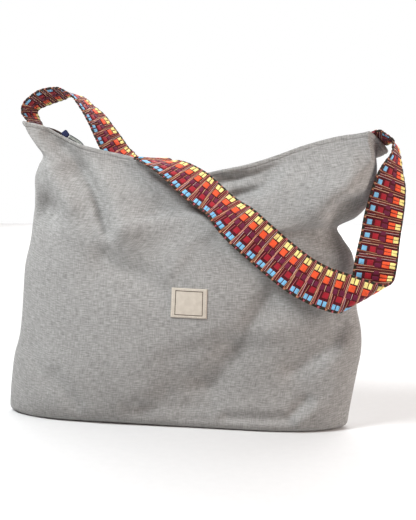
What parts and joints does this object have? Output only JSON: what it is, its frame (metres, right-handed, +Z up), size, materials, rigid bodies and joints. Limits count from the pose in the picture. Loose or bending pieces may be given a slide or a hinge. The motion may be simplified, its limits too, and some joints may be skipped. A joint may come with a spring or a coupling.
{
  "type": "shopping bag",
  "caption": "Soft linen shopping bag with a wide woven shoulder strap that hangs across the front, and a small plain label patch.",
  "frame": {"origin": "on the floor under the middle of the box round the whole bag, strap included", "axes": "+X to the right as seen from the front, +Y to the back, +Z up; the front with the label faces -Y"},
  "size_m": [0.5218, 0.1144, 0.4298],
  "materials": {
    "linen": "plain weave, slubby, matt",
    "strap_webbing": "thick patterned weave in several colours",
    "label_patch": "smooth, pale, matt",
    "grey_tape": "narrow woven tape",
    "navy_tab": "dense dark cloth"
  },
  "bodies": {
    "root": {"front_panel": "linen", "back_panel": "linen", "strap": "strap_webbing", "label": "label_patch", "pull_loop": "grey_tape", "pull_tab": "navy_tab"}
  },
  "joints": []
}
